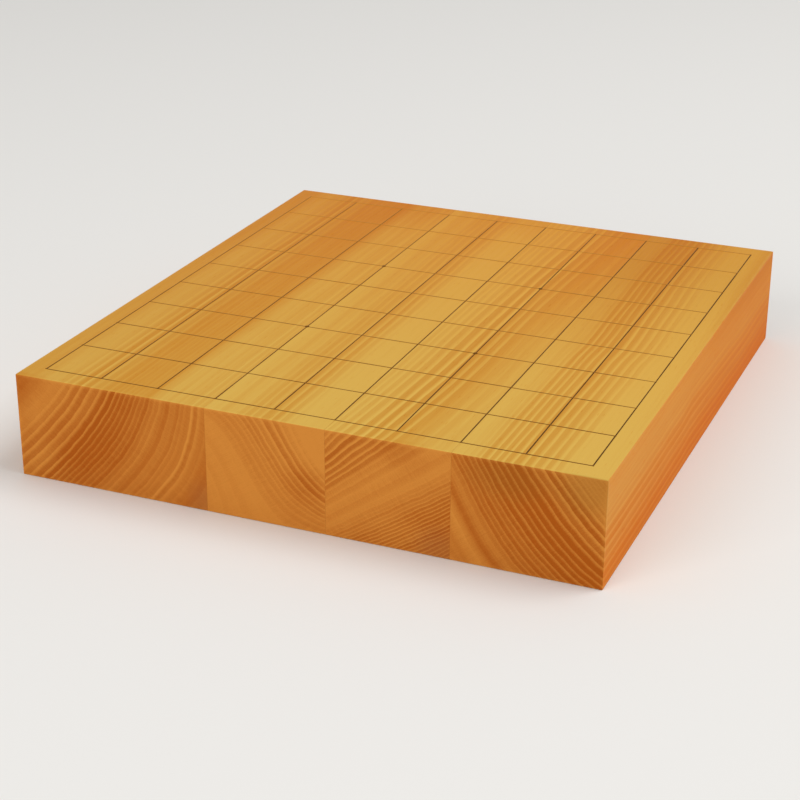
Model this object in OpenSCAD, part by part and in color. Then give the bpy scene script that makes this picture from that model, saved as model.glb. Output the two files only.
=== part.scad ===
// Tabletop shogi board. Four softwood staves are glued edge to edge, the nine by nine
// grid is laid on top in black lacquer, and four star points mark the promotion zones.
// The grain runs from one player to the other, so the players face the end grain.
// Sizes are millimetres. X runs across the grain, Y along it and Z up. The origin is
// the centre of the underside.

/* [Board] */
// Width of the board, across the grain
board_w = 333; // [318:1:400]
// Length of the board, along the grain from player to player
board_l = 364; // [346:1:440]
// Thickness of the board
board_t = 60; // [24:1:90]
// Width of the chamfer that softens every outer edge
arris = 0.6; // [0.2:0.1:2]

/* [Grid] */
// Width of one square, across the grain
square_w = 34.4; // [30:0.1:36]
// Length of one square, along the grain
square_l = 37.6; // [33:0.1:39]

/* [Staves] */
// File line over the first glue joint, counted from the left edge line as 0
joint_line_1 = 3; // [1, 2, 3, 4]
// File line over the second glue joint
joint_line_2 = 5; // [5, 6]
// File line over the third glue joint
joint_line_3 = 7; // [7, 8]
// Thickness of the glue film in a joint
glue_t = 0.1; // [0.05:0.05:0.3]

/* [Lacquer] */
// Width of a lacquer line
line_w = 0.7; // [0.5:0.1:1.2]
// Height of a lacquer line above the wood
line_h = 0.15; // [0.05:0.05:0.25]
// Diameter of a star point
star_d = 2.4; // [2:0.1:4]
// Height of a star point above the crossing that it covers
star_rise = 0.15; // [0.1:0.05:0.4]

/* [Hidden] */
$fn = 64;
squares = 9;                  // squares each way, as the game sets them
star_lines = [3, 6];          // lines that cross at the star points
joint_lines = [joint_line_1, joint_line_2, joint_line_3];
staves = len(joint_lines) + 1;
grid_w = squares * square_w;
grid_l = squares * square_l;
lap = line_h;                 // lacquer that a rank line carries down each side of a file line
shoulder = 0.6 * line_h;      // height of the sloped shoulder along a lacquer line
crossing_h = 2 * line_h;      // a rank line rides over the file line below it
star_h = crossing_h + star_rise;
dome_h = star_h - line_h;     // the edge of a star point is as high as a lacquer line
dome_r = (star_d * star_d / 4 + dome_h * dome_h) / (2 * dome_h);
cut_over = 1;                 // how far a cutting block passes the outline

wood = [0.84, 0.66, 0.36];
wood_dark = [0.79, 0.59, 0.29];
glue = [0.58, 0.38, 0.18];
lacquer = [0.09, 0.07, 0.05];

function star_name(i, j) = str("star_point_", i, "_", j);

// Where a file line lies, counted from the left edge line as 0
function file_x(i) = (i - squares / 2) * square_w;

// Where a rank line lies, counted from the near edge line as 0
function rank_y(j) = (j - squares / 2) * square_l;

// A glue joint is hidden under its file line
function joint_x(k) = file_x(joint_lines[k]);

// The left and right faces of a stave, past the outline on the outer staves
function stave_left(i) = i == 0 ? -board_w / 2 - cut_over : joint_x(i - 1) + glue_t / 2;
function stave_right(i) = i == staves - 1 ? board_w / 2 + cut_over : joint_x(i) - glue_t / 2;

// A rectangle about the origin with its corners cut off at 45 degrees
module softened_rectangle(w, h) {
    x = w / 2;
    y = h / 2;
    polygon([
        [-x + arris, -y], [x - arris, -y], [x, -y + arris], [x, y - arris],
        [x - arris, y], [-x + arris, y], [-x, y - arris], [-x, -y + arris]
    ]);
}

// The outline of the whole board, with every outer edge softened
module board_block() {
    translate([0, 0, board_t / 2]) intersection() {
        linear_extrude(height = board_t, center = true) softened_rectangle(board_w, board_l);
        rotate([90, 0, 0])
            linear_extrude(height = board_l, center = true) softened_rectangle(board_w, board_t);
        rotate([90, 0, 90])
            linear_extrude(height = board_w, center = true) softened_rectangle(board_l, board_t);
    }
}

// The part of the board between two planes across its width
module board_slice(left, right) {
    intersection() {
        board_block();
        translate([left, -board_l / 2 - cut_over, -cut_over])
            cube([right - left, board_l + 2 * cut_over, board_t + 2 * cut_over]);
    }
}

module stave(i) {
    color(i % 2 == 0 ? wood : wood_dark) board_slice(stave_left(i), stave_right(i));
}

module glue_film(k) {
    color(glue) board_slice(joint_x(k) - glue_t / 2, joint_x(k) + glue_t / 2);
}

// Cross-section of laid lacquer, flat below with sloped shoulders
module lacquer_section(w, h) {
    x = w / 2;
    polygon([
        [-x, 0], [x, 0], [x, h - shoulder],
        [x - shoulder, h], [-x + shoulder, h], [-x, h - shoulder]
    ]);
}

module along_file(w, h, length) {
    rotate([90, 0, 0]) linear_extrude(height = length, center = true) lacquer_section(w, h);
}

module along_rank(w, h, length) {
    rotate([90, 0, 90]) linear_extrude(height = length, center = true) lacquer_section(w, h);
}

// A file line is laid first, in one piece from edge line to edge line
module file_line(i) {
    color(lacquer) translate([file_x(i), 0, board_t]) along_file(line_w, line_h, grid_l + line_w);
}

// A rank line is laid second and rides over each file line in a low hump
module rank_line(j) {
    color(lacquer) difference() {
        translate([0, rank_y(j), board_t]) {
            along_rank(line_w, line_h, grid_w + line_w + 2 * lap);
            for (i = [0:squares])
                translate([file_x(i), 0, 0]) intersection() {
                    along_file(line_w + 2 * lap, crossing_h, 2 * line_w);
                    along_rank(line_w, crossing_h, 2 * (line_w + lap));
                }
        }
        for (i = [0:squares])
            file_line(i);
    }
}

// A star point is a domed drop of lacquer over a crossing
module star_point(i, j) {
    color(lacquer) difference() {
        translate([file_x(i), rank_y(j), board_t]) intersection() {
            translate([0, 0, star_h - dome_r]) sphere(r = dome_r);
            cylinder(d = star_d, h = star_h + cut_over);
        }
        file_line(i);
        rank_line(j);
    }
}

for (i = [0:staves - 1])
    stave(i);
for (k = [0:staves - 2])
    glue_film(k);
for (i = [0:squares])
    file_line(i);
for (j = [0:squares])
    rank_line(j);
for (i = star_lines, j = star_lines)
    star_point(i, j);
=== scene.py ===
# %% [markdown]
# # A tabletop shogi board
# This lesson dresses a glued-up shogi board: four staves of golden softwood with the
# end grain facing the players, and a grid of black lacquer lines laid on top.
# The solid model already fixes every size and place. It is loaded first, and all that
# follows works in the same frame: metres, X across the grain, Y along it and Z up.

# %% Load the solid model
import math

import bmesh
import bpy
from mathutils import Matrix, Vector


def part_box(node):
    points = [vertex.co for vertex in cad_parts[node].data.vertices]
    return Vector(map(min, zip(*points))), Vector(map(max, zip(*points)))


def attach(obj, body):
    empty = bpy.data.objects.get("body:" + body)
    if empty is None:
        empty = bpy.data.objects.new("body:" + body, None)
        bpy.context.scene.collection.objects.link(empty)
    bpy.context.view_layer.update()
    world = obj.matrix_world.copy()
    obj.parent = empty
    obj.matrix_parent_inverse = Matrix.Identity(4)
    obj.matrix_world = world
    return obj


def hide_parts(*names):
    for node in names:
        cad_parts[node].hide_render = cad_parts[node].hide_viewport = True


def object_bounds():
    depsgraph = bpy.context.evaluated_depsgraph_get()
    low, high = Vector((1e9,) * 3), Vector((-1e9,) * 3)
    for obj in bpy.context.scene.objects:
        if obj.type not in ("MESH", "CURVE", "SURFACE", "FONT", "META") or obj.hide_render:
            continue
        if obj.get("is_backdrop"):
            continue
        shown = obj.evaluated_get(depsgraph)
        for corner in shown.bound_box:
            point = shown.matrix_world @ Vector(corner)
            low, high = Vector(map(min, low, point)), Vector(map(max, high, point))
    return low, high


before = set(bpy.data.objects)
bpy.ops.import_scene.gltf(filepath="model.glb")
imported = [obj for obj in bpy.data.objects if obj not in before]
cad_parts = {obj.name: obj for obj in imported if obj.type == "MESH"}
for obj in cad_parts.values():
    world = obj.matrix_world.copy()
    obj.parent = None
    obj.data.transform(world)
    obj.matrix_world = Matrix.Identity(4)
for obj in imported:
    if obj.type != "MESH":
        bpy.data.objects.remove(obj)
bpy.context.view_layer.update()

# %% [markdown]
# Every measure that the new pieces need is read from the solid model, so that a stave
# or a line made here fills the same space as the one it stands for.

# %% Read the sizes of the board and of its lines
STAVES = [f"stave_{number}" for number in range(1, 5)]
GLUE_FILMS = [f"glue_film_{number}" for number in range(1, 4)]
FILE_LINES = [f"file_line_{number}" for number in range(10)]
RANK_LINES = [f"rank_line_{number}" for number in range(10)]
STAR_POINTS = [f"star_point_{file}_{rank}" for file in (3, 6) for rank in (3, 6)]

board_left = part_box(STAVES[0])[0].x
board_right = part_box(STAVES[-1])[1].x
board_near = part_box(STAVES[0])[0].y
board_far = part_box(STAVES[0])[1].y
board_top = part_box(STAVES[0])[1].z
board_width = board_right - board_left
board_length = board_far - board_near
print("board", board_width, "by", board_length, "by", board_top)


def middle(node):
    low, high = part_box(node)
    return (low + high) / 2


def size(node):
    low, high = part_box(node)
    return high - low


# %% [markdown]
# The camera stands where the photo was taken: in front of the board and to its right,
# a little over a metre away, looking down at 24 degrees. A long lens keeps the board's
# edges nearly parallel, and a near camera with a short one would make them run
# together. The camera isn't aimed at the board's middle. Its place, turn and lens were
# worked out by a fit to the board's corners and grid in the photo.

# %% Camera
camera_data = bpy.data.cameras.new("camera")
camera_data.sensor_width = 36
camera_data.lens = 84.3
camera = bpy.data.objects.new("camera", camera_data)
camera.location = (0.3823, -0.9628, 0.4531)
camera.rotation_euler = [math.radians(angle) for angle in (66.38, -0.27, 22.64)]
bpy.context.scene.collection.objects.link(camera)
bpy.context.scene.camera = camera
print("camera is", round((camera.location - Vector((0, 0, board_top))).length, 3), "m away")

# %% [markdown]
# The stage is a plain pale floor, and the light is soft: one wide lamp high on the
# right, a weaker one low in front and an even pale sky. Wide lamps give shadows with
# soft edges, and they don't leave a hard spot of light on waxed wood.

# %% Floor, sky and lamps
FLOOR_WIDTH = 12
FLOOR_COLOUR = (0.82, 0.81, 0.79, 1)
FLOOR_ROUGHNESS = 0.9
FLOOR_GLOSS = 0.1
SKY_COLOUR = (1, 0.99, 0.97, 1)
SKY_STRENGTH = 0.5

bpy.ops.object.select_all(action="DESELECT")
bpy.ops.mesh.primitive_plane_add(size=FLOOR_WIDTH, location=(0, 0, 0))
floor = bpy.context.object
floor.name = "floor"
floor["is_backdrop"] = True

floor_material = bpy.data.materials.new("pale_floor")
floor_material.use_nodes = True
floor_shader = floor_material.node_tree.nodes["Principled BSDF"]
floor_shader.inputs["Base Color"].default_value = FLOOR_COLOUR
floor_shader.inputs["Roughness"].default_value = FLOOR_ROUGHNESS
floor_shader.inputs["Specular IOR Level"].default_value = FLOOR_GLOSS
floor.data.materials.append(floor_material)

world = bpy.data.worlds.new("pale_sky")
world.use_nodes = True
world.node_tree.nodes["Background"].inputs["Color"].default_value = SKY_COLOUR
world.node_tree.nodes["Background"].inputs["Strength"].default_value = SKY_STRENGTH
bpy.context.scene.world = world
bpy.context.scene.view_settings.view_transform = "Standard"


def add_lamp(name, place, width, power):
    """A square lamp that looks at the middle of the board's top."""
    lamp = bpy.data.lights.new(name, "AREA")
    lamp.size = width
    lamp.energy = power
    holder = bpy.data.objects.new(name, lamp)
    holder.location = place
    aim = Vector((0, 0, board_top)) - Vector(place)
    holder.rotation_euler = aim.to_track_quat("-Z", "Y").to_euler()
    bpy.context.scene.collection.objects.link(holder)


add_lamp("key_lamp", place=(1.9, 0.5, 3.1), width=2.4, power=68)
add_lamp("fill_lamp", place=(-0.9, -2.8, 1.4), width=2.0, power=36)
print("lamps and floor are set")

# %% [markdown]
# Each new piece starts as a primitive at its real size. A few small helpers keep the
# steps short. One selects a single piece. One makes a block and moves its place and
# size into its mesh, so that patterns on the object's own coordinates run on from
# piece to piece. Two more pick edges or points in edit mode, because an operator acts
# on all that is selected.

# %% Helpers for modelling
ROUND_PROFILE = 0.5


def select_only(piece):
    bpy.ops.object.select_all(action="DESELECT")
    piece.select_set(True)
    bpy.context.view_layer.objects.active = piece


def start_block(name, low, high):
    bpy.ops.object.select_all(action="DESELECT")
    bpy.ops.mesh.primitive_cube_add(size=1, location=(low + high) / 2)
    block = bpy.context.object
    block.name = name
    block.data.name = name
    block.scale = high - low
    bpy.ops.object.transform_apply(location=True, rotation=True, scale=True)
    return block


def select_edges(piece, wanted):
    """Select, in edit mode, the edges for which wanted(edge) is true."""
    bpy.ops.mesh.select_mode(type="EDGE")
    bpy.ops.mesh.select_all(action="DESELECT")
    mesh = bmesh.from_edit_mesh(piece.data)
    for edge in mesh.edges:
        if wanted(edge):
            edge.select = True
    bmesh.update_edit_mesh(piece.data)


def select_points(piece, wanted):
    """Select, in edit mode, the points for which wanted(place) is true."""
    bpy.ops.mesh.select_mode(type="VERT")
    bpy.ops.mesh.select_all(action="DESELECT")
    mesh = bmesh.from_edit_mesh(piece.data)
    for point in mesh.verts:
        if wanted(point.co):
            point.select = True
    mesh.select_flush(True)
    bmesh.update_edit_mesh(piece.data)


print("modelling helpers are ready")

# %% [markdown]
# A stave is a planed block. Its arrises, the outer edges, are taken off by hand with a
# few strokes of the plane, while the edges at a glue joint stay sharp so that the
# joint closes. Only edges between two outer faces are rounded, by a bevel of a few
# segments, and the edges at a joint are left alone.

# %% Staves
ARRIS = 0.0007
ARRIS_SEGMENTS = 4
STAVE_CREASE = math.radians(30)
OUTER_GAP = 0.00001
SQUARE_ON = 0.9


def is_outer_face(face):
    """True for a face on the outside of the board, false for one in a glue joint."""
    across = abs(face.normal.x) > SQUARE_ON
    place = face.calc_center_median().x
    at_side = min(abs(place - board_left), abs(place - board_right)) < OUTER_GAP
    return at_side or not across


def make_stave(node):
    low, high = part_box(node)
    stave = start_block(node + "_wood", low, high)
    bpy.ops.object.mode_set(mode="EDIT")
    select_edges(stave, lambda edge: all(is_outer_face(face) for face in edge.link_faces))
    bpy.ops.mesh.bevel(
        offset=ARRIS, segments=ARRIS_SEGMENTS, profile=ROUND_PROFILE, affect="EDGES"
    )
    bpy.ops.object.mode_set(mode="OBJECT")
    bpy.ops.object.shade_smooth_by_angle(angle=STAVE_CREASE)
    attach(stave, "root")
    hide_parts(node)
    return stave


staves = [make_stave(node) for node in STAVES]
print("staves", [(stave.name, len(stave.data.polygons)) for stave in staves])

# %% [markdown]
# Wood, glue and lacquer are drawn by shader nodes. A tree of nodes made in code soon
# gets long, so each helper here adds one kind of node, fills its inputs with sockets
# or plain values, and gives back its output.

# %% Helpers for shader nodes


def feed(tree, socket, value):
    """Link a socket, or set a plain value, into an input."""
    if isinstance(value, bpy.types.NodeSocket):
        tree.links.new(value, socket)
    else:
        socket.default_value = value


def calculate(tree, operation, *values, clamp=False):
    node = tree.nodes.new("ShaderNodeMath")
    node.operation = operation
    node.use_clamp = clamp
    for socket, value in zip(node.inputs, values):
        feed(tree, socket, value)
    return node.outputs[0]


def calculate_vector(tree, operation, *values):
    node = tree.nodes.new("ShaderNodeVectorMath")
    node.operation = operation
    for socket, value in zip(node.inputs, values):
        feed(tree, socket, value)
    return node.outputs[1 if operation == "LENGTH" else 0]


def about_zero(tree, pattern):
    """A pattern that lies between 0 and 1, moved to lie about zero."""
    return calculate(tree, "SUBTRACT", pattern, 0.5)


def take_apart(tree, vector):
    node = tree.nodes.new("ShaderNodeSeparateXYZ")
    feed(tree, node.inputs[0], vector)
    return node.outputs["X"], node.outputs["Y"], node.outputs["Z"]


def add_noise(tree, place, spacing, detail, roughness=0.5):
    """Noise whose grain is spacing metres long in X, Y and Z."""
    scaled = calculate_vector(tree, "DIVIDE", place, spacing)
    node = tree.nodes.new("ShaderNodeTexNoise")
    feed(tree, node.inputs["Vector"], scaled)
    node.inputs["Scale"].default_value = 1
    node.inputs["Detail"].default_value = detail
    node.inputs["Roughness"].default_value = roughness
    return node.outputs["Fac"]


def smooth_step(tree, value, start, end):
    node = tree.nodes.new("ShaderNodeMapRange")
    node.interpolation_type = "SMOOTHSTEP"
    feed(tree, node.inputs["Value"], value)
    node.inputs["From Min"].default_value = start
    node.inputs["From Max"].default_value = end
    return node.outputs["Result"]


def start_group(name, inputs, outputs):
    """A shader node group with named inputs (name to socket kind) and float outputs."""
    tree = bpy.data.node_groups.new(name, "ShaderNodeTree")
    for socket_name, kind in inputs.items():
        tree.interface.new_socket(socket_name, in_out="INPUT", socket_type="NodeSocket" + kind)
    for socket_name in outputs:
        tree.interface.new_socket(socket_name, in_out="OUTPUT", socket_type="NodeSocketFloat")
    entry = tree.nodes.new("NodeGroupInput")
    leave = tree.nodes.new("NodeGroupOutput")
    return tree, entry.outputs, leave.inputs


def place_group(tree, group, **values):
    node = tree.nodes.new("ShaderNodeGroup")
    node.node_tree = group
    for name, value in values.items():
        feed(tree, node.inputs[name.capitalize()], value)
    return node.outputs


print("node helpers are ready")

# %% [markdown]
# Wood is a record of growth, and its pattern is drawn here in the same way. Every
# point of a stave has an age: how far from the tree's heart it grew. Lines of equal
# age are the rings. On the end grain they show as arcs, and on the long faces the
# same rings run out as straight lines, so one field of ages draws all six faces and
# the lines meet at every edge.
#
# The first shared group works out that age. It turns the stave's cross-section to
# the bearing in which the tree grew, bends the straight layers into arcs, and lets
# them wander a little. Lengths inside it are counted in half board thicknesses, and
# the age runs from 0 to 1 over the span of a growth record. The group also gives the
# rays, the pale lines that cross the rings from the heart outwards.

# %% Group: the age of the wood
HALF_THICKNESS = board_top / 2
RECORD_SPAN = 0.128
WANDER = 0.0016
WANDER_NOISE = {"spacing": (0.02, 0.14, 0.02), "detail": 3, "roughness": 0.55}
RIPPLE = 0.0009
RIPPLE_NOISE = {"spacing": (0.007, 0.08, 0.007), "detail": 2, "roughness": 0.5}
RAY_NOISE = {"spacing": (0.35, 1, 0.018), "detail": 2, "roughness": 0.6}

age_group, given, result = start_group(
    "age_of_the_wood",
    {"Place": "Vector", "Centre": "Float", "Bearing": "Float", "Bow": "Float",
     "Fan": "Float", "Skew": "Float", "Shear": "Float", "Swell": "Float",
     "Drift": "Float"},
    ["Age", "Ray"],
)
centre = age_group.nodes.new("ShaderNodeCombineXYZ")
feed(age_group, centre.inputs["X"], given["Centre"])
centre.inputs["Z"].default_value = HALF_THICKNESS
from_centre = calculate_vector(age_group, "SUBTRACT", given["Place"], centre.outputs[0])
counted = calculate_vector(age_group, "DIVIDE", from_centre, (HALF_THICKNESS,) * 3)
turn = age_group.nodes.new("ShaderNodeVectorRotate")
turn.rotation_type = "Y_AXIS"
feed(age_group, turn.inputs["Vector"], counted)
feed(age_group, turn.inputs["Angle"], given["Bearing"])
outward, lengthwise, along = take_apart(age_group, turn.outputs[0])

skewed = calculate(age_group, "MULTIPLY_ADD", given["Skew"], along, given["Bow"])
arched = calculate(age_group, "MULTIPLY_ADD", given["Fan"], outward, skewed)
swelling = calculate(age_group, "MULTIPLY_ADD", given["Swell"], outward, given["Shear"])
leaning = calculate(age_group, "MULTIPLY", swelling, outward)
bending = calculate(age_group, "MULTIPLY_ADD", arched, along, leaning)
bent = calculate(age_group, "MULTIPLY_ADD", bending, along, outward)
drifted = calculate(age_group, "MULTIPLY_ADD", bent, HALF_THICKNESS, given["Drift"])
wave = about_zero(age_group, add_noise(age_group, given["Place"], **WANDER_NOISE))
wandered = calculate(age_group, "MULTIPLY_ADD", wave, WANDER, drifted)
ripple = about_zero(age_group, add_noise(age_group, given["Place"], **RIPPLE_NOISE))
rippled = calculate(age_group, "MULTIPLY_ADD", ripple, RIPPLE, wandered)
age = calculate(age_group, "MULTIPLY_ADD", rippled, 1 / RECORD_SPAN, 0.5)
feed(age_group, result["Age"], age)

radial = age_group.nodes.new("ShaderNodeCombineXYZ")
feed(age_group, radial.inputs["X"], outward)
feed(age_group, radial.inputs["Z"], along)
feed(age_group, result["Ray"], add_noise(age_group, radial.outputs[0], **RAY_NOISE))
print("group", age_group.name, "has", len(age_group.nodes), "nodes")

# %% [markdown]
# A year starts with pale, open early wood and closes with a band of dark, dense late
# wood, which stops short where the next year starts. The second group turns a ring
# number into that band: a narrow pale line, then a wide darker one. The two spans
# below are shares of a year. The group also draws a lot for each ring, because some
# years are darker than others.

# %% Group: the line of each year
DARKENING = (0.04, 0.5)
CLEARING = (1.0, 0.86)

ring_group, given, result = start_group("line_of_the_year", {"Ring": "Float"}, ["Line", "Lot"])
season = calculate(ring_group, "FRACT", given["Ring"])
darkening = smooth_step(ring_group, season, *DARKENING)
clearing = smooth_step(ring_group, season, *CLEARING)
feed(ring_group, result["Line"], calculate(ring_group, "MULTIPLY", darkening, clearing))
lot = ring_group.nodes.new("ShaderNodeTexWhiteNoise")
lot.noise_dimensions = "1D"
feed(ring_group, lot.inputs["W"], calculate(ring_group, "FLOOR", given["Ring"]))
feed(ring_group, result["Lot"], lot.outputs["Value"])
print("group", ring_group.name, "has", len(ring_group.nodes), "nodes")

# %% [markdown]
# Between the rings, planed softwood shows its fibres: streaks a fraction of a
# millimetre wide and several centimetres long. Here and there a resin canal was cut
# open and left a short dark dash. On the end grain the same fibres are cut across and
# leave fine dots. The third group makes them from noise that is stretched along the
# grain, and adds the soft clouds of tone of a natural board. Each look is a spacing
# in metres, a detail and a roughness.

# %% Group: fibres and cut ends
FIBRE_LOOKS = {
    "Fibre": ((0.0004, 0.03, 0.0004), 3, 0.6),
    "Streak": ((0.0028, 0.22, 0.0028), 3, 0.6),
    "Cloud": ((0.035, 0.11, 0.035), 2, 0.5),
    "Cut end": ((0.0004, 0.012, 0.0004), 3, 0.7),
    "Canal": ((0.0006, 0.007, 0.0006), 0, 0.5),
}
CANAL_OPENS = (0.74, 0.82)

fibre_group, given, result = start_group(
    "wood_fibres", {"Place": "Vector"}, list(FIBRE_LOOKS)
)
for name, (spacing, detail, roughness) in FIBRE_LOOKS.items():
    pattern = add_noise(fibre_group, given["Place"], spacing, detail, roughness)
    if name == "Canal":
        pattern = smooth_step(fibre_group, pattern, *CANAL_OPENS)
    feed(fibre_group, result[name], pattern)
print("group", fibre_group.name, "has", len(fibre_group.nodes), "nodes")

# %% [markdown]
# Hands and cloths have worn the arrises of the board smooth. The next group finds them
# without any picture of wear: for a point on the surface, the second smallest of its
# distances to the outer faces is its distance to an edge. The same mask makes the
# arrises a little paler, partly from wear and partly as a painted highlight where the
# rounded edge catches the light.

# %% Group: worn and highlit edges
EDGE_WEAR_AND_HIGHLIGHT_WIDTH = 0.0022
EDGE_WEAR_AND_HIGHLIGHT_WANDER = 0.003
EDGE_WEAR_AND_HIGHLIGHT_NOISE = {"spacing": (0.012,) * 3, "detail": 3, "roughness": 0.6}

edge_group, given, result = start_group("worn_and_highlit_edges", {"Place": "Vector"}, ["Rubbed"])
across, lengthwise, up = take_apart(edge_group, given["Place"])
from_side = calculate(edge_group, "SUBTRACT", board_width / 2,
                      calculate(edge_group, "ABSOLUTE", across))
from_end = calculate(edge_group, "SUBTRACT", board_length / 2,
                     calculate(edge_group, "ABSOLUTE", lengthwise))
from_top = calculate(edge_group, "SUBTRACT", board_top, up)
from_flat = calculate(edge_group, "MINIMUM", from_top, up)
nearer = calculate(edge_group, "MINIMUM", from_side, from_end)
further = calculate(edge_group, "MAXIMUM", from_side, from_end)
from_edge = calculate(edge_group, "MAXIMUM", nearer,
                      calculate(edge_group, "MINIMUM", further, from_flat))
wear_and_highlight_wobble = add_noise(edge_group, given["Place"], **EDGE_WEAR_AND_HIGHLIGHT_NOISE)
reach = calculate(edge_group, "MULTIPLY_ADD", wear_and_highlight_wobble, -EDGE_WEAR_AND_HIGHLIGHT_WANDER, EDGE_WEAR_AND_HIGHLIGHT_WANDER / 2)
reached = calculate(edge_group, "ADD", from_edge, reach)
feed(edge_group, result["Rubbed"], smooth_step(edge_group, reached, EDGE_WEAR_AND_HIGHLIGHT_WIDTH, 0.0))
print("group", edge_group.name, "has", len(edge_group.nodes), "nodes")

# %% [markdown]
# Some tones follow no ring: a darker flare along part of a stave, or a stain. The
# next group gives a soft patch, which is full in its core and fades out over an
# ellipsoid of the given size.

# %% Group: a soft patch
PATCH_CORE = 0.15

patch_group, given, result = start_group(
    "soft_patch", {"Place": "Vector", "Centre": "Vector", "Size": "Vector"}, ["Patch"]
)
from_centre = calculate_vector(patch_group, "SUBTRACT", given["Place"], given["Centre"])
in_sizes = calculate_vector(patch_group, "DIVIDE", from_centre, given["Size"])
distance = calculate_vector(patch_group, "LENGTH", in_sizes)
feed(patch_group, result["Patch"], smooth_step(patch_group, distance, 1.0, PATCH_CORE))
print("group", patch_group.name, "has", len(patch_group.nodes), "nodes")

# %% [markdown]
# Each stave was sawn from another part of the tree, so each one has its own growth
# record. The first numbers give the bearing of the rings in degrees and their bend.
# "rings" says which ring is reached at so many millimetres of growth. "sawn" and
# "planed" give, for sawn faces and for planed ones, how dark the wood is there and how
# strongly its rings stand out: (growth, darkness, contrast). "drift" says how far the
# rings wander on the way along the board: (millimetres from the near end, millimetres
# of growth). "flares" are patches of darker or paler wood, and one on the third and
# fourth staves is painted shade at the far end of the top. "stains" are patches of
# another colour. Each patch has its centre and its size in millimetres and its strength.
#
# The bend was fitted to the rings in the photo, and most places of rings and steps of
# drift were measured on it with small programs. The darkness and contrast were worked
# out from its mean values and then changed, and the patches were placed one by one.
#
# The first stave is the wide one on the left. Its rings climb from the lower left to
# the upper right, wide apart at first and close together in its dark middle.

# %% The growth record of stave 1
GROWTH = {}


def report_growth(node):
    rings = [ring for growth, ring in GROWTH[node]["rings"]]
    print("the record of", node, "runs from ring", rings[0], "to ring", rings[-1])


GROWTH["stave_1"] = {
    "bearing": -35.1, "bow": 0.105, "fan": 0.022, "skew": 0.015,
    "shear": -0.007, "swell": -0.032,
    "rings": [(-64, -4), (-39.1, 1), (-29.6, 3), (-19.6, 5), (-14.6, 6), (-10.6, 7),
              (-4.6, 9), (4.4, 12), (16.4, 16), (26.4, 19), (32.1, 21), (36.9, 22),
              (40.9, 23), (46, 24), (64, 28)],
    "sawn": [(-64, 0.5, 0.03), (-56, 0.6, 0.05), (-44, 0.16, 0.05), (-40, 0.15, 0.08),
             (-37, 0.28, 0.35), (-23, 0.44, 0.4), (-18, 0.52, 0.5), (-13.5, 0.66, 0.55),
             (-6, 0.74, 0.28), (8, 0.66, 0.25), (11, 0.58, 0.22), (13.5, 0.42, 0.15),
             (16.5, 0.3, 0.1), (20.6, 0.6, 0.1), (24, 0.48, 0.1), (28, 0.45, 0.12),
             (33, 0.5, 0.2), (37, 0.15, 0.4), (39, 0.42, 0.35), (41, 0.32, 0.2),
             (52, 0.64, 0.05), (64, 0.5, 0.05)],
    "planed": [(-64, 0.5, 0.03), (-56, 0.57, 0.05), (-48, 0.32, 0.03),
               (-44, 0.26, 0.03), (-33, 0.48, 0.3), (-29, 0.47, 0.4), (-25, 0.5, 0.25),
               (-20, 0.52, 0.22), (-17, 0.66, 0.1), (6, 0.66, 0.06), (8, 0.7, 0.05),
               (14, 0.28, 0.05), (17.5, 0.12, 0.03), (21, 0.21, 0.03),
               (24.5, 0.15, 0.03), (32, 0.3, 0.08), (34.5, 0.25, 0.1),
               (37.2, 0.1, 0.15), (40, 0.26, 0.12), (44, 0.26, 0.1), (52, 0.4, 0.05),
               (64, 0.4, 0.05)],
    "drift": [(0, 0), (234, 0), (264, -0.25), (364, -0.25)],
    "flares": [((-72, 182, 60), (30, 80, 20), 0.25),
               ((-156, -182, 6), (30, 40, 26), -0.2),
               ((-168, -182, 30), (15, 10, 60), 0.2),
               ((-118, -182, 24), (40, 5, 26), 0.12),
               ((-158, -182, 56), (26, 5, 22), 0.15)],
    "stains": [((-53, -182, 4), (15, 12, 20), 0.16, "grey")],
}
report_growth("stave_1")

# %% [markdown]
# The second stave is pale and quiet on its left. A bundle of fine rings falls from
# the middle of its top to its lower right corner.

# %% The growth record of stave 2
GROWTH["stave_2"] = {
    "bearing": 213.2, "bow": 0.08, "fan": -0.121, "skew": 0.107,
    "shear": -0.097, "swell": -0.136,
    "rings": [(-64, -8), (-26.7, 1), (-22.6, 2), (-18.9, 3), (-14.4, 4), (-10.6, 5),
              (-7.4, 6), (-2.1, 8), (1.6, 9), (10, 11), (42, 18), (64, 22)],
    "sawn": [(-64, 0, 0.03), (-37, 0.02, 0.03), (-30, -0.12, 0.05), (-26, 0.02, 0.26),
             (-15.5, 0.21, 0.4), (-11.5, 0.22, 0.38), (-8, 0.25, 0.25),
             (-4, 0.18, 0.15), (4.6, 0.25, 0.1), (12, 0.02, 0.03), (19, 0.08, 0.03),
             (24, 0.02, 0.03), (64, 0, 0.05)],
    "planed": [(-64, 0, 0.03), (-42, 0.07, 0.03), (-30, -0.04, 0.02), (-27, 0.02, 0.1),
               (-24.5, 0.18, 0.2), (-22, 0.22, 0.25), (-19.5, 0.33, 0.3),
               (-9.5, 0.33, 0.2), (-4, 0.14, 0.05), (0, 0.2, 0.08), (5, 0, 0.03),
               (64, 0, 0.03)],
    "drift": [(0, 0), (74, 0.25), (169, 0.5), (234, 0.25), (264, -0.5), (364, -0.75)],
    "flares": [((8, -182, 27), (20, 30, 17), 0.3),
               ((14, 182, 60), (30, 60, 20), 0.2)],
    "stains": [],
}
report_growth("stave_2")
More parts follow.
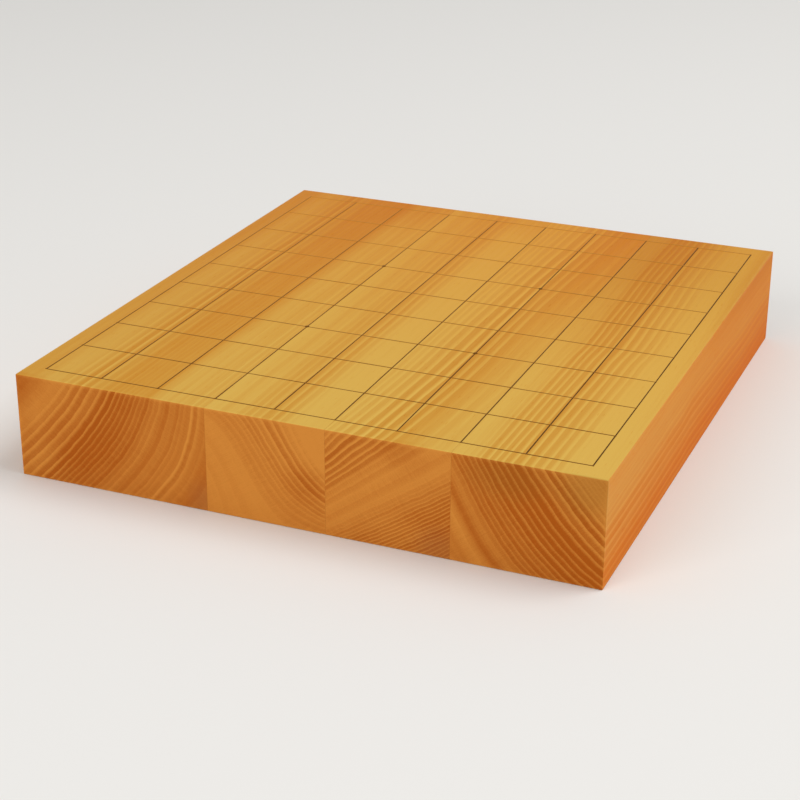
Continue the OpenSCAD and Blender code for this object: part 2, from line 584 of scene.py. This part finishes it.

# %% [markdown]
# The third stave has wide rings in its upper left, a quiet belt across its middle and
# fine, close rings below. All of them climb gently to the right. Along the board they
# wander the most. The far part of its top is darker, here and on the next stave, and
# that darkening is painted shade.

# %% The growth record of stave 3
GROWTH["stave_3"] = {
    "bearing": 125.0, "bow": -0.005, "fan": 0.019, "skew": 0.001,
    "shear": 0.092, "swell": 0.07,
    "rings": [(-64, -14), (-40, -2.4), (-31.6, 1.8), (-22.9, 6.3), (-17.4, 9.1),
              (-9.6, 13), (-4.6, 15.4), (0, 17), (9.4, 19), (17, 21), (20.9, 22),
              (23.9, 23), (27.5, 24), (31.3, 25), (35.5, 26), (39.7, 27), (43.4, 28),
              (46.8, 29), (64, 34)],
    "sawn": [(-64, 0.55, 0.2), (-26.5, 0.57, 0.45), (-22, 0.48, 0.42),
             (-16, 0.47, 0.42), (-8, 0.28, 0.2), (-4.5, 0.12, 0.08), (-1, 0.03, 0.05),
             (5.4, 0.22, 0.05), (9, 0.06, 0.05), (16.5, 0.25, 0.15), (19, 0.35, 0.4),
             (26, 0.34, 0.6), (34, 0.34, 0.6), (41, 0.25, 0.45), (44, 0.15, 0.4),
             (64, 0.2, 0.4)],
    "planed": [(-64, 0.5, 0.1), (-38, 0.45, 0.12), (-20, 0.35, 0.1), (-8, 0.15, 0.05),
               (0, 0.1, 0.05), (6, 0.2, 0.1), (9, 0.18, 0.1), (12, 0.22, 0.1),
               (18, 0.5, 0.1), (20, 0.42, 0.3), (22, 0.42, 0.4), (24, 0.48, 0.4),
               (26, 0.35, 0.55), (29, 0.33, 0.6), (36, 0.2, 0.35), (40, 0.18, 0.35),
               (44, 0.08, 0.25), (64, 0.1, 0.2)],
    "drift": [(0, 0), (4, 0.4), (24, 1.4), (54, 2.65), (84, 3.65), (104, 3.9),
              (164, 3.9), (204, 4.4), (254, 5.15), (304, 6.4), (364, 7.6)],
    # The first flare is painted shade over the far part of the top.
    "flares": [((95, 182, 60), (48, 290, 20), 0.45),
               ((58, -182, 8), (26, 40, 16), -0.25),
               ((60, -182, 54), (20, 5, 14), 0.22)],
    "stains": [((80, -182, 4), (20, 12, 20), 0.16, "grey")],
}
report_growth("stave_3")

# %% [markdown]
# The fourth stave is the one with the boldest rings, which fall steeply to the right.
# Its right face is the side of the board, so its record draws that face as well.

# %% The growth record of stave 4
GROWTH["stave_4"] = {
    "bearing": 217.2, "bow": 0.087, "fan": 0.044, "skew": 0.026,
    "shear": -0.04, "swell": 0.002,
    "rings": [(-64, -12), (-48, -4.5), (-36.4, 1), (-32.6, 2), (-28.6, 3), (-24.4, 4),
              (-19.9, 5), (-15.6, 6), (-10.6, 7), (-6.6, 8), (-2.9, 9), (0.6, 10),
              (4.9, 11), (7.9, 12), (14.1, 14), (19.9, 16), (27, 18), (48, 23),
              (64, 26)],
    "sawn": [(-64, 0.2, 0.1), (-46, 0.2, 0.14), (-39, 0.12, 0.16), (-33, 0.25, 0.4),
             (-27, 0.46, 0.55), (-22, 0.52, 0.55), (-14, 0.74, 0.45), (-10, 0.78, 0.42),
             (-6, 0.75, 0.42), (-3, 0.8, 0.35), (0, 0.66, 0.45), (3, 0.68, 0.42),
             (6, 0.7, 0.36), (20, 0.52, 0.22), (23, 0.4, 0.12), (25.5, 0.24, 0.06),
             (28.2, 0.75, 0.05), (30.4, 0.85, 0.05), (32.6, 0.3, 0.05),
             (34.5, 0.1, 0.05), (37, 0.15, 0.05), (42, 0.42, 0.06), (64, 0.3, 0.06)],
    "planed": [(-64, 0, 0.03), (-48, 0, 0.03), (-38, -0.06, 0.05), (-33, 0, 0.12),
               (-21, 0.27, 0.38), (-17, 0.3, 0.42), (-4, 0.3, 0.33), (3, 0.27, 0.42),
               (6, 0.19, 0.15), (14, 0.02, 0.05), (20, 0.03, 0.05), (29, 0.3, 0.05),
               (34, 0.05, 0.03), (42, 0.25, 0.05), (64, 0.2, 0.05)],
    "drift": [(0, 0), (54, 0.25), (84, 0.5), (114, 1), (144, 1.25), (164, 2.25),
              (184, 2), (204, 1.25), (244, 0.25), (284, -1), (304, -1), (364, -0.25)],
    # The first flare is painted shade over the far part of the top.
    "flares": [((95, 182, 60), (48, 290, 20), 0.45),
               ((166, 182, 62), (24, 380, 40), 0.12),
               ((168, 182, 60), (10, 260, 26), 0.2)],
    "stains": [((158, -182, 54), (26, 1.5, 24), 0.3, "brown"),
               ((116, -182, 52), (34, 1.5, 18), 0.2, "brown"),
               ((126, 182, 60), (300, 240, 20), 0.11, "olive")],
}
report_growth("stave_4")

# %% [markdown]
# The lists become curves on a Float Curve node, which reads and gives numbers from 0
# to 1, so both axes are scaled to fit. The records stay easy to read, and the curve
# between two entries is drawn by the node.

# %% Draw a list of the growth record as a curve
MM_PER_M = 1000


def add_record(tree, position, entries, start, end):
    """A curve through (place, value) entries. Position 0 is start and 1 is end."""
    lowest = min(value for place, value in entries)
    highest = max(value for place, value in entries)
    span = highest - lowest
    node = tree.nodes.new("ShaderNodeFloatCurve")
    feed(tree, node.inputs["Value"], position)
    points = node.mapping.curves[0].points
    while len(points) < len(entries):
        points.new(0.5, 0.5)
    for point, (place, value) in zip(points, entries):
        point.location = ((place - start) / (end - start), (value - lowest) / span)
        point.handle_type = "VECTOR"
    node.mapping.update()
    return calculate(tree, "MULTIPLY_ADD", node.outputs[0], span, lowest)


def add_growth_record(tree, age, entries):
    half = RECORD_SPAN * MM_PER_M / 2
    return add_record(tree, age, entries, -half, half)


print("a growth record spans", RECORD_SPAN * MM_PER_M, "mm of growth")

# %% [markdown]
# Long faces, side faces and end grain are the same wood with different finishes. A
# planed face is a clear gold. The open cells of end grain drink the wax and turn a
# deep orange brown. The side faces get a more orange gold, which is painted red light
# bounced onto them. Each finish names the pale and the dark colour between which the
# wood varies, how much its figure also shades it, the tint of painted shade that
# darkens it towards the far end, and the strength of each pattern in it. Three stains
# are kept beside them.

# %% Colours and strengths of the wood finishes


def colour(red, green, blue):
    """An sRGB colour, as read from a picture, as the linear colour that shaders use."""
    return [((c / 255 + 0.055) / 1.055) ** 2.4 for c in (red, green, blue)] + [1]


# The far tint is painted shade: it darkens the planed and side faces and turns them more orange
# towards the far end of the board.
FINISHES = {
    "long_grain": {"pale": colour(213, 172, 80), "dark": colour(198, 128, 32),
                   "far_painted_shade": (1.07, 0.77, 0.5, 1), "far_shade_power": 1.25, "shade": 0.1,
                   "record": "planed", "rings": 1.35, "far_rings": -0.5, "lot": 0.08,
                   "fibre": 0.45, "streak": 0.3, "cloud": 0.15, "cut end": 0.0,
                   "ray": 0.0, "canal": 0.35, "worn_and_highlit": 0.12,
                   "roughness": 0.58, "gloss": 0.05, "bump": 0.2},
    # The side faces' pale and dark are more orange than the top's: painted red light bounced
    # onto that side.
    "side_grain_painted_bounce": {"pale": colour(224, 159, 78), "dark": colour(225, 125, 40),
                   "far_painted_shade": (0.96, 0.78, 0.48, 1), "far_shade_power": 1.0, "shade": 0.16,
                   "record": "sawn", "rings": 0.78, "far_rings": -0.25, "lot": 0.08,
                   "fibre": 0.55, "streak": 0.3, "cloud": 0.2, "cut end": 0.0,
                   "ray": 0.0, "canal": 0.35, "worn_and_highlit": 0.12,
                   "roughness": 0.62, "gloss": 0.02, "bump": 0.2},
    "end_grain": {"pale": colour(209, 135, 55), "dark": colour(172, 86, 17),
                  "far_painted_shade": None, "far_shade_power": 1.0, "shade": 0.06,
                  "record": "sawn", "rings": 1.25, "far_rings": 0.0, "lot": 0.16,
                  "fibre": 0.0, "streak": 0.0, "cloud": 0.15, "cut end": 0.9,
                  "ray": 0.5, "canal": 0.0, "worn_and_highlit": 0.25,
                  "roughness": 0.62, "gloss": 0.05, "bump": 0.3},
}
STAINS = {"grey": colour(120, 80, 66), "brown": colour(126, 92, 30),
          "olive": colour(122, 122, 40)}
print("finishes", list(FINISHES), "and stains", list(STAINS))

# %% [markdown]
# The darkness of a point starts from the tone in the growth record. The figure comes
# on top of it: the line of the year, at the strength that the record gives it, and
# the fibres, streaks, clouds and rays. A year that drew a high lot is a little darker
# and its line a little stronger, and a list of flares changes the tone here and there.

# %% Darkness and figure of the wood
LUCK = 0.4


def read_growth(tree, node, record_name, place, share):
    """What the growth record says of each point: sockets by name."""
    growth = GROWTH[node]
    drift = add_record(tree, share, growth["drift"], 0, board_length * MM_PER_M)
    field = place_group(
        tree, age_group, place=place, centre=middle(node).x,
        bearing=math.radians(growth["bearing"]), bow=growth["bow"], fan=growth["fan"],
        skew=growth["skew"], shear=growth["shear"], swell=growth["swell"],
        drift=calculate(tree, "MULTIPLY", drift, 1 / MM_PER_M),
    )
    tones = [(at, dark) for at, dark, contrast in growth[record_name]]
    contrasts = [(at, contrast) for at, dark, contrast in growth[record_name]]
    year = place_group(
        tree, ring_group, ring=add_growth_record(tree, field["Age"], growth["rings"])
    )
    return {
        "tone": add_growth_record(tree, field["Age"], tones),
        "contrast": add_growth_record(tree, field["Age"], contrasts),
        "line": year["Line"], "lot": year["Lot"], "ray": field["Ray"],
    }


def draw_figure(tree, finish, wood, fibres, share):
    """The line of the year and the finer patterns, about zero."""
    luck = calculate(tree, "MULTIPLY_ADD", wood["lot"], LUCK, 1 - LUCK / 2)
    shown = calculate(tree, "MULTIPLY_ADD", share, finish["far_rings"], finish["rings"])
    contrast = calculate(tree, "MULTIPLY", wood["contrast"], luck)
    strength = calculate(tree, "MULTIPLY", contrast, shown)
    figure = calculate(tree, "MULTIPLY", about_zero(tree, wood["line"]), strength)
    patterns = {"fibre": fibres["Fibre"], "streak": fibres["Streak"],
                "cloud": fibres["Cloud"], "cut end": fibres["Cut end"], "ray": wood["ray"]}
    for name, pattern in patterns.items():
        if finish[name]:
            pattern = about_zero(tree, pattern)
            figure = calculate(tree, "MULTIPLY_ADD", pattern, finish[name], figure)
    return figure


def add_patch(tree, place, centre, spread, strength):
    """The mask of one soft patch, with its centre and its size in millimetres."""
    mask = place_group(tree, patch_group, place=place,
                       centre=[part / MM_PER_M for part in centre],
                       size=[part / MM_PER_M for part in spread])["Patch"]
    return calculate(tree, "MULTIPLY", mask, strength)


# %% [markdown]
# One function then makes every wood finish. Darkness mixes the pale colour with the
# dark one, and the figure shades the result a little, because late wood is not only
# redder but darker too. Resin canals add dark dashes. Worn arrises are smoother, and
# paler, partly from wear and partly as a painted highlight along the edge. The same
# patterns raise the surface by a hair, so that light picks them up.

# %% Wood material
LATE_WOOD_SHINE = 0.06
RUBBED_SHINE = 0.18
GRAIN_RELIEF = 0.6
RELIEF_DEPTH = 0.0002


def mix_colours(tree, share, first, second, blend="MIX"):
    mix = tree.nodes.new("ShaderNodeMix")
    mix.data_type = "RGBA"
    mix.blend_type = blend
    mix.clamp_factor = True
    feed(tree, mix.inputs["Factor"], share)
    feed(tree, mix.inputs[6], first)
    feed(tree, mix.inputs[7], second)
    return mix.outputs[2]


def make_wood(node, finish_name):
    growth = GROWTH[node]
    finish = FINISHES[finish_name]
    material = bpy.data.materials.new(f"{node}_{finish_name}")
    material.use_nodes = True
    tree = material.node_tree
    shader = tree.nodes["Principled BSDF"]
    place = tree.nodes.new("ShaderNodeTexCoord").outputs["Object"]
    across, lengthwise, up = take_apart(tree, place)
    share = calculate(tree, "MULTIPLY_ADD", lengthwise, 1 / board_length, 0.5)
    wood = read_growth(tree, node, finish["record"], place, share)
    fibres = place_group(tree, fibre_group, place=place)
    worn_and_highlit = place_group(tree, edge_group, place=place)["Rubbed"]
    figure = draw_figure(tree, finish, wood, fibres, share)

    odd_year = about_zero(tree, wood["lot"])
    darkness = calculate(tree, "MULTIPLY_ADD", odd_year, finish["lot"], wood["tone"])
    darkness = calculate(tree, "ADD", darkness, figure)
    if finish["canal"]:
        darkness = calculate(tree, "MULTIPLY_ADD", fibres["Canal"], finish["canal"], darkness)
    # Paler along the arrises: partly wear, partly a painted highlight on the rounded edge.
    darkness = calculate(tree, "MULTIPLY_ADD", worn_and_highlit, -finish["worn_and_highlit"], darkness)
    for flare in growth["flares"]:
        darkness = calculate(tree, "ADD", darkness, add_patch(tree, place, *flare))

    wood_colour = mix_colours(tree, darkness, finish["pale"], finish["dark"])
    shade = calculate(tree, "MULTIPLY_ADD", figure, -finish["shade"], 1)
    wood_colour = mix_colours(tree, 1, wood_colour, shade, "MULTIPLY")
    # Painted shade: the colour turns darker and more orange towards the far end.
    if finish["far_painted_shade"]:
        far_shade_share = calculate(tree, "POWER", share, finish["far_shade_power"])
        wood_colour = mix_colours(tree, far_shade_share, wood_colour, finish["far_painted_shade"], "MULTIPLY")
    for *patch, stain in growth["stains"]:
        mask = add_patch(tree, place, *patch)
        wood_colour = mix_colours(tree, mask, wood_colour, STAINS[stain])
    feed(tree, shader.inputs["Base Color"], wood_colour)

    waxed = calculate(tree, "MULTIPLY_ADD", wood["line"], -LATE_WOOD_SHINE, finish["roughness"])
    polished = calculate(tree, "MULTIPLY_ADD", worn_and_highlit, -RUBBED_SHINE, waxed)
    feed(tree, shader.inputs["Roughness"], polished)
    shader.inputs["Specular IOR Level"].default_value = finish["gloss"]

    grain = fibres["Cut end"] if finish["cut end"] else fibres["Fibre"]
    relief = calculate(tree, "MULTIPLY_ADD", grain, GRAIN_RELIEF, wood["line"])
    bump = tree.nodes.new("ShaderNodeBump")
    bump.inputs["Strength"].default_value = finish["bump"]
    bump.inputs["Distance"].default_value = RELIEF_DEPTH
    feed(tree, bump.inputs["Height"], relief)
    feed(tree, shader.inputs["Normal"], bump.outputs["Normal"])
    return material


# %% [markdown]
# Each stave gets its own three materials. A face takes its finish from the direction
# in which it looks: along the board is end grain, across it is side grain, and up or
# down is long grain, the first slot.

# %% Put the finishes on the staves
SLOT_OF_FINISH = {name: slot for slot, name in enumerate(FINISHES)}

for node, stave in zip(STAVES, staves):
    for finish_name in FINISHES:
        stave.data.materials.append(make_wood(node, finish_name))
    for face in stave.data.polygons:
        facing = [abs(part) for part in face.normal]
        if facing[1] == max(facing):
            face.material_index = SLOT_OF_FINISH["end_grain"]
        elif facing[0] == max(facing):
            face.material_index = SLOT_OF_FINISH["side_grain_painted_bounce"]
    print(stave.name, "wears", [material.name for material in stave.data.materials])

# %% [markdown]
# The glue films keep the shape of the solid model. They show only as a hair line
# between two staves, so they get the brown of old glue with a slight mottle.

# %% Glue films
GLUE_DARK = colour(150, 86, 30)
GLUE_PALE = colour(182, 112, 46)
GLUE_MOTTLE = {"spacing": (0.004, 0.01, 0.004), "detail": 3}
GLUE_ROUGHNESS = 0.45
GLUE_GLOSS = 0.04

glue_material = bpy.data.materials.new("old_glue")
glue_material.use_nodes = True
glue_tree = glue_material.node_tree
glue_shader = glue_tree.nodes["Principled BSDF"]
glue_place = glue_tree.nodes.new("ShaderNodeTexCoord").outputs["Object"]
glue_mottle = add_noise(glue_tree, glue_place, **GLUE_MOTTLE)
feed(glue_tree, glue_shader.inputs["Base Color"],
     mix_colours(glue_tree, glue_mottle, GLUE_DARK, GLUE_PALE))
glue_shader.inputs["Roughness"].default_value = GLUE_ROUGHNESS
glue_shader.inputs["Specular IOR Level"].default_value = GLUE_GLOSS
for node in GLUE_FILMS:
    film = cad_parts[node]
    for slot in film.material_slots:
        slot.material = glue_material
print("glue films", GLUE_FILMS)

# %% [markdown]
# The grid is drawn with thick lacquer. A line stands a little above the wood, with a
# rounded top where the lacquer drew together as it dried, and its width varies by a
# few hundredths of a millimetre. The lines along the grain and those across it are
# made in the same steps, so the steps come first: round the two long upper edges, cut
# the line into short lengths, and copy the finished line to its other places.

# %% Helpers for the lacquer lines
line_width = size(FILE_LINES[0]).x
line_height = size(FILE_LINES[0]).z
ROUNDING = line_height * 0.8
ROUNDING_SEGMENTS = 3


def round_upper_edges(line, along_axis):
    """Round the two long upper edges of a line."""
    top = board_top + line_height

    def is_long_upper(edge):
        first, second = (point.co for point in edge.verts)
        is_upper = min(first.z, second.z) > top - OUTER_GAP
        return is_upper and abs((first - second)[along_axis]) > line_width * 2

    select_edges(line, is_long_upper)
    bpy.ops.mesh.bevel(
        offset=ROUNDING, segments=ROUNDING_SEGMENTS, profile=ROUND_PROFILE, affect="EDGES"
    )


def cut_across(along_axis, place):
    """Cut the line in edit mode at a place along it, and keep both halves joined."""
    bpy.ops.mesh.select_all(action="SELECT")
    cut_point = [0, 0, board_top]
    cut_point[along_axis] = place
    cut_normal = [0, 0, 0]
    cut_normal[along_axis] = 1
    bpy.ops.mesh.bisect(plane_co=cut_point, plane_no=cut_normal)


def copy_line(first, name, step):
    """A copy of a line with its own mesh, moved by step."""
    select_only(first)
    bpy.ops.object.duplicate(linked=False)
    line = bpy.context.object
    line.name = name
    line.data.name = name
    bpy.ops.transform.translate(value=step)
    bpy.ops.object.transform_apply(location=True, rotation=True, scale=True)
    return line


print("a line is", line_width, "wide and", line_height, "high")

# %% [markdown]
# The lines along the grain are laid first, each in one piece over the whole length of
# the grid. One of them is modelled and cut into short lengths, which the hand-laid
# unevenness needs later on, and the other nine are copies of it.

# %% Lacquer lines along the files
FILE_LENGTHS = 60

low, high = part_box(FILE_LINES[0])
first_file = start_block(FILE_LINES[0] + "_lacquer", low, high)
bpy.ops.object.mode_set(mode="EDIT")
round_upper_edges(first_file, 1)
for cut in range(1, FILE_LENGTHS):
    cut_across(1, low.y + (high.y - low.y) * cut / FILE_LENGTHS)
bpy.ops.object.mode_set(mode="OBJECT")
files = [first_file]
for node in FILE_LINES[1:]:
    step = middle(node) - middle(FILE_LINES[0])
    files.append(copy_line(first_file, node + "_lacquer", step))
print("one file line has", len(first_file.data.polygons), "faces")

# %% [markdown]
# The lines across are laid second, so each one climbs over the ten lines that are
# there already. The block is cut on both sides of every crossing, and the short
# length over the crossing is lifted by the height of the line below it. The cuts
# just beside it stay down, which leaves a small slope up and a small slope down.

# %% Lacquer lines along the ranks
LENGTHS_PER_SQUARE = 3

crossings = [middle(node).x for node in FILE_LINES]
half_line = line_width / 2
past_the_grid = (size(RANK_LINES[0]).x - (middle(FILE_LINES[-1]) - middle(FILE_LINES[0])).x) / 2
lap = past_the_grid - half_line

low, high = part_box(RANK_LINES[0])
flat_high = Vector((high.x, high.y, board_top + line_height))
first_rank = start_block(RANK_LINES[0] + "_lacquer", low, flat_high)
bpy.ops.object.mode_set(mode="EDIT")
round_upper_edges(first_rank, 0)
for crossing in crossings:
    for side in (-1, 1):
        cut_across(0, crossing + side * half_line)
        if low.x < crossing + side * (half_line + lap) < high.x:
            cut_across(0, crossing + side * (half_line + lap))
for left, right in zip(crossings, crossings[1:]):
    for cut in range(1, LENGTHS_PER_SQUARE):
        cut_across(0, left + (right - left) * cut / LENGTHS_PER_SQUARE)


def is_over_a_file(place):
    return any(abs(place.x - crossing) < half_line + OUTER_GAP for crossing in crossings)


select_points(first_rank, is_over_a_file)
bpy.ops.transform.translate(value=(0, 0, line_height))
bpy.ops.object.mode_set(mode="OBJECT")
ranks = [first_rank]
for node in RANK_LINES[1:]:
    step = middle(node) - middle(RANK_LINES[0])
    ranks.append(copy_line(first_rank, node + "_lacquer", step))
print("one rank line has", len(first_rank.data.polygons), "faces")

# %% [markdown]
# No two lines that are laid by hand are quite alike. A soft displacement moves each
# line by a few hundredths of a millimetre. Its clouds are fixed to the board and not
# to the line, so that every copy comes out a little different.

# %% Make the lines uneven and hand them over
UNEVENNESS = 0.00012
LINE_CREASE = math.radians(40)

laid_by_hand = bpy.data.textures.new("laid_by_hand", "CLOUDS")
laid_by_hand.noise_scale = 0.03
laid_by_hand.noise_depth = 1


def lay_unevenly(line):
    select_only(line)
    uneven = line.modifiers.new("uneven", "DISPLACE")
    uneven.texture = laid_by_hand
    uneven.texture_coords = "GLOBAL"
    uneven.strength = UNEVENNESS
    bpy.ops.object.modifier_apply(modifier=uneven.name)


def finish_line(line, node):
    bpy.ops.object.shade_smooth_by_angle(angle=LINE_CREASE)
    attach(line, "root")
    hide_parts(node)


for line, node in zip(files + ranks, FILE_LINES + RANK_LINES):
    lay_unevenly(line)
    finish_line(line, node)
print("lacquer lines", len(files) + len(ranks))

# %% [markdown]
# A star point is one drop of lacquer from the tip of a thin stick. It starts as a
# low disc, and its upper face is drawn in and lifted a few times to make the dome.
# Each step follows a quarter circle, and a tiny flat is left at the very top, so that
# the last ring of faces stays open.

# %% Star points
STAR_SIDES = 32
DOME_STEPS = 5
DRAWN_IN = 0.98
STAR_CREASE = math.radians(50)


def make_star(node):
    low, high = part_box(node)
    radius = (high.x - low.x) / 2
    bpy.ops.object.select_all(action="DESELECT")
    bpy.ops.mesh.primitive_cylinder_add(
        vertices=STAR_SIDES, radius=radius, depth=line_height,
        location=(middle(node).x, middle(node).y, board_top + line_height / 2),
    )
    star = bpy.context.object
    star.name = node + "_lacquer"
    star.data.name = star.name
    bpy.ops.object.transform_apply(location=True, rotation=True, scale=True)
    bpy.ops.object.mode_set(mode="EDIT")
    select_points(star, lambda place: place.z > board_top + line_height - OUTER_GAP)
    dome_height = high.z - board_top - line_height
    for step in range(DOME_STEPS):
        angle = math.pi / 2 * step / DOME_STEPS
        next_angle = math.pi / 2 * (step + 1) / DOME_STEPS
        inwards = radius * (math.cos(angle) - math.cos(next_angle)) * DRAWN_IN
        upwards = dome_height * (math.sin(next_angle) - math.sin(angle))
        bpy.ops.mesh.inset(thickness=inwards, depth=0)
        bpy.ops.transform.translate(value=(0, 0, upwards))
    bpy.ops.object.mode_set(mode="OBJECT")
    bpy.ops.object.shade_smooth_by_angle(angle=STAR_CREASE)
    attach(star, "root")
    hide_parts(node)
    return star


stars = [make_star(node) for node in STAR_POINTS]
print("star points", [star.name for star in stars])

# %% [markdown]
# The lacquer is a warm brown black. Years of play have worn it: the lines across have
# thinned towards the far side, and the lines along the grain towards the far left,
# where the wood shows through them. The last group measures that wear from the place
# on the board, with some noise so that it comes and goes along a line.

# %% Group: worn lacquer
THICKNESS_NOISE = {"spacing": (0.006,) * 3, "detail": 3, "roughness": 0.6}
THIN_SPOTS = 0.4

worn_group, given, result = start_group(
    "worn_lacquer",
    {"Place": "Vector", "Even": "Float", "Far": "Float", "Left": "Float", "Kept": "Float"},
    ["Wear", "Thickness"],
)
across, lengthwise, up = take_apart(worn_group, given["Place"])
to_right = calculate(worn_group, "MULTIPLY_ADD", across, 1 / board_width, 0.5)
to_far = calculate(worn_group, "MULTIPLY_ADD", lengthwise, 1 / board_length, 0.5)
to_left = calculate(worn_group, "SUBTRACT", 1, to_right)
spared = calculate(worn_group, "MULTIPLY", to_right, given["Kept"])
open_to_wear = calculate(worn_group, "SUBTRACT", 1, spared)
far_wear = calculate(worn_group, "MULTIPLY", given["Far"],
                     calculate(worn_group, "MULTIPLY", to_far, open_to_wear))
left_wear = calculate(worn_group, "MULTIPLY_ADD", to_left, given["Left"], given["Even"])
wear = calculate(worn_group, "ADD", left_wear, far_wear)
thickness = add_noise(worn_group, given["Place"], **THICKNESS_NOISE)
thin_spots = calculate(worn_group, "MULTIPLY_ADD", thickness, THIN_SPOTS, 1 - THIN_SPOTS / 2)
shown = calculate(worn_group, "MULTIPLY", wear, thin_spots, clamp=True)
feed(worn_group, result["Wear"], shown)
feed(worn_group, result["Thickness"], thickness)
print("group", worn_group.name, "has", len(worn_group.nodes), "nodes")

# %% [markdown]
# Files, ranks and star points get a lacquer each, because they are worn differently.
# "even" is wear all over, "far" and "left" add to it towards those sides, and "kept"
# says how much of the far wear the right side was spared. Thick lacquer is nearly
# black, thin lacquer is browner and rougher, and worn lacquer lets the wood through.

# %% Lacquer finishes
LACQUERS = {
    "file_lacquer": (files, {"even": 0.05, "far": 0.5, "left": 0.15, "kept": 0.95}),
    "rank_lacquer": (ranks, {"even": 0.24, "far": 0.78, "left": 0.0, "kept": 0.25}),
    "star_lacquer": (stars, {"even": 0.1, "far": 0.2, "left": 0.0, "kept": 0.25}),
}
LACQUER_THICK = colour(54, 33, 6)
LACQUER_THIN = colour(92, 58, 10)
WOOD_UNDER_IT = colour(198, 136, 56)
SMOOTHEST = 0.25
ROUGHER_WHERE_THIN = 0.3
LACQUER_GLOSS = 0.04


def make_lacquer(name, worn):
    material = bpy.data.materials.new(name)
    material.use_nodes = True
    tree = material.node_tree
    shader = tree.nodes["Principled BSDF"]
    place = tree.nodes.new("ShaderNodeTexCoord").outputs["Object"]
    look = place_group(tree, worn_group, place=place, **worn)
    laid = mix_colours(tree, look["Thickness"], LACQUER_THICK, LACQUER_THIN)
    worn_colour = mix_colours(tree, look["Wear"], laid, WOOD_UNDER_IT)
    feed(tree, shader.inputs["Base Color"], worn_colour)
    roughness = calculate(
        tree, "MULTIPLY_ADD", look["Thickness"], ROUGHER_WHERE_THIN, SMOOTHEST
    )
    feed(tree, shader.inputs["Roughness"], roughness)
    shader.inputs["Specular IOR Level"].default_value = LACQUER_GLOSS
    return material


for name, (pieces, worn) in LACQUERS.items():
    lacquer = make_lacquer(name, worn)
    for piece in pieces:
        piece.data.materials.append(lacquer)
    print(name, "on", len(pieces), "pieces")

# %% [markdown]
# Last, the box of the dressed board is printed.

# %% Measure and finish
low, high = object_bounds()
print("dressed board from", tuple(low), "to", tuple(high))
